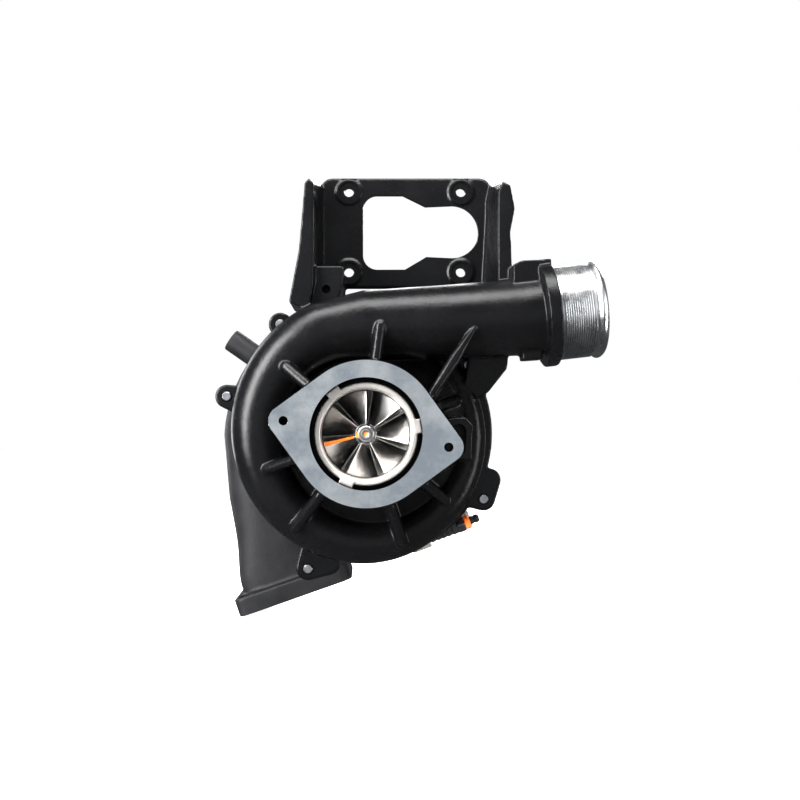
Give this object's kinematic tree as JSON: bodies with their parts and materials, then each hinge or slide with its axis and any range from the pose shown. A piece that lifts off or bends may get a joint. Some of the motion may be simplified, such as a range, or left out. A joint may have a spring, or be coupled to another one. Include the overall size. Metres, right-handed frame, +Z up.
{
  "type": "turbocharger",
  "caption": "Variable-geometry turbocharger: spiral compressor cover with mounting bracket, bearing housing and cast exhaust housing, with a spinning rotor and pivoting vanes.",
  "frame": {"origin": "middle of the bounding box", "axes": "+Y along the shaft from the compressor inlet to the turbine outlet, +Z up, +X to the right seen from the inlet"},
  "size_m": [0.3164, 0.25, 0.378],
  "materials": {
    "black_powder_coat": "semi-gloss black powder coat on cast aluminium",
    "machined_aluminium": "bright machined aluminium with fine tool marks",
    "cast_aluminium": "as-cast aluminium, warm grey",
    "cast_iron": "dark grey cast iron, satin",
    "steel": "plated and machined steel",
    "nickel_alloy": "heat-stained nickel alloy",
    "bronze": "bearing bronze",
    "black_rubber": "black rubber seal",
    "orange_rubber": "orange silicone seal",
    "dark_plastic": "dark moulded plastic"
  },
  "bodies": {
    "housing": {"compressor_cover": "black_powder_coat", "shroud_ring": "cast_aluminium", "outlet_spigot": "machined_aluminium", "outlet_spigot_seal": "black_rubber", "backplate": "black_powder_coat", "backplate_seal": "black_rubber", "bearing_housing": "cast_iron", "journal_bearing_front": "bronze", "bearing_spacer": "steel", "journal_bearing_rear": "bronze", "thrust_bearing": "bronze", "oil_seal_plate": "steel", "piston_ring_front": "dark_plastic", "piston_ring_rear": "dark_plastic", "coolant_pipe": "cast_iron", "oil_inlet_fitting": "steel", "nozzle_ring": "nickel_alloy", "actuator_housing": "cast_aluminium", "actuator_end_cap": "cast_aluminium", "vane_control_valve": "dark_plastic", "valve_collar": "steel", "connector_seal": "orange_rubber", "valve_connector": "dark_plastic", "turbine_housing": "cast_iron", "heat_shield": "nickel_alloy", "clamp_band": "steel", "clamp_bolt": "steel", "clamp_nut": "steel", "cover_bolt_1": "steel", "cover_bolt_2": "steel", "cover_bolt_3": "steel", "cover_bolt_4": "steel", "cover_bolt_5": "steel", "housing_screw_1": "steel", "housing_screw_2": "steel", "housing_screw_3": "steel", "housing_screw_4": "steel"},
    "rotor": {"turbine_wheel_and_shaft": "nickel_alloy", "compressor_wheel": "machined_aluminium", "compressor_locknut": "steel", "thrust_collar": "steel"},
    "unison": {"unison_ring": "steel"},
    "crank": {"vane_crank": "steel"},
    "piston": {"actuator_piston": "steel"},
    "vane_1": {"vane_1": "nickel_alloy"},
    "vane_2": {"vane_2": "nickel_alloy"},
    "vane_3": {"vane_3": "nickel_alloy"},
    "vane_4": {"vane_4": "nickel_alloy"},
    "vane_5": {"vane_5": "nickel_alloy"},
    "vane_6": {"vane_6": "nickel_alloy"},
    "vane_7": {"vane_7": "nickel_alloy"},
    "vane_8": {"vane_8": "nickel_alloy"},
    "vane_9": {"vane_9": "nickel_alloy"}
  },
  "joints": [
    {"name": "rotor_spin", "type": "hinge", "parent": "housing", "child": "rotor", "pos_m": [-0.02718, -0.035, -0.02599], "axis": [0, 1, 0], "continuous": true},
    {"name": "unison_ring_turn", "type": "hinge", "parent": "housing", "child": "unison", "pos_m": [-0.02718, 0.0076, -0.02599], "axis": [0, 1, 0], "range_deg": [-3.5, 3.5]},
    {"name": "crank_turn", "type": "hinge", "parent": "housing", "child": "crank", "pos_m": [0.01781, -0.005, -0.08195], "axis": [0, 1, 0], "range_deg": [-18, 18]},
    {"name": "piston_slide", "type": "slide", "parent": "housing", "child": "piston", "axis": [0.9397, 0, 0.342], "range_m": [-0.0078, 0.0078]},
    {"name": "vane_1_turn", "type": "hinge", "parent": "housing", "child": "vane_1", "pos_m": [0.01812, 0.012, -0.018], "axis": [0, 1, 0], "range_deg": [-20, 20]},
    {"name": "vane_2_turn", "type": "hinge", "parent": "housing", "child": "vane_2", "pos_m": [0.00239, 0.012, 0.00925], "axis": [0, 1, 0], "range_deg": [-20, 20]},
    {"name": "vane_3_turn", "type": "hinge", "parent": "housing", "child": "vane_3", "pos_m": [-0.02718, 0.012, 0.02001], "axis": [0, 1, 0], "range_deg": [-20, 20]},
    {"name": "vane_4_turn", "type": "hinge", "parent": "housing", "child": "vane_4", "pos_m": [-0.05675, 0.012, 0.00925], "axis": [0, 1, 0], "range_deg": [-20, 20]},
    {"name": "vane_5_turn", "type": "hinge", "parent": "housing", "child": "vane_5", "pos_m": [-0.07248, 0.012, -0.018], "axis": [0, 1, 0], "range_deg": [-20, 20]},
    {"name": "vane_6_turn", "type": "hinge", "parent": "housing", "child": "vane_6", "pos_m": [-0.06702, 0.012, -0.04899], "axis": [0, 1, 0], "range_deg": [-20, 20]},
    {"name": "vane_7_turn", "type": "hinge", "parent": "housing", "child": "vane_7", "pos_m": [-0.04292, 0.012, -0.06922], "axis": [0, 1, 0], "range_deg": [-20, 20]},
    {"name": "vane_8_turn", "type": "hinge", "parent": "housing", "child": "vane_8", "pos_m": [-0.01145, 0.012, -0.06922], "axis": [0, 1, 0], "range_deg": [-20, 20]},
    {"name": "vane_9_turn", "type": "hinge", "parent": "housing", "child": "vane_9", "pos_m": [0.01265, 0.012, -0.04899], "axis": [0, 1, 0], "range_deg": [-20, 20]}
  ],
  "couplings": [
    {"joint": "crank_turn", "follows": "unison_ring_turn", "ratio": -5},
    {"joint": "piston_slide", "follows": "unison_ring_turn", "m_per_rad": 0.125},
    {"joint": "vane_1_turn", "follows": "unison_ring_turn", "ratio": 5.6},
    {"joint": "vane_2_turn", "follows": "unison_ring_turn", "ratio": 5.6},
    {"joint": "vane_3_turn", "follows": "unison_ring_turn", "ratio": 5.6},
    {"joint": "vane_4_turn", "follows": "unison_ring_turn", "ratio": 5.6},
    {"joint": "vane_5_turn", "follows": "unison_ring_turn", "ratio": 5.6},
    {"joint": "vane_6_turn", "follows": "unison_ring_turn", "ratio": 5.6},
    {"joint": "vane_7_turn", "follows": "unison_ring_turn", "ratio": 5.6},
    {"joint": "vane_8_turn", "follows": "unison_ring_turn", "ratio": 5.6},
    {"joint": "vane_9_turn", "follows": "unison_ring_turn", "ratio": 5.6}
  ]
}
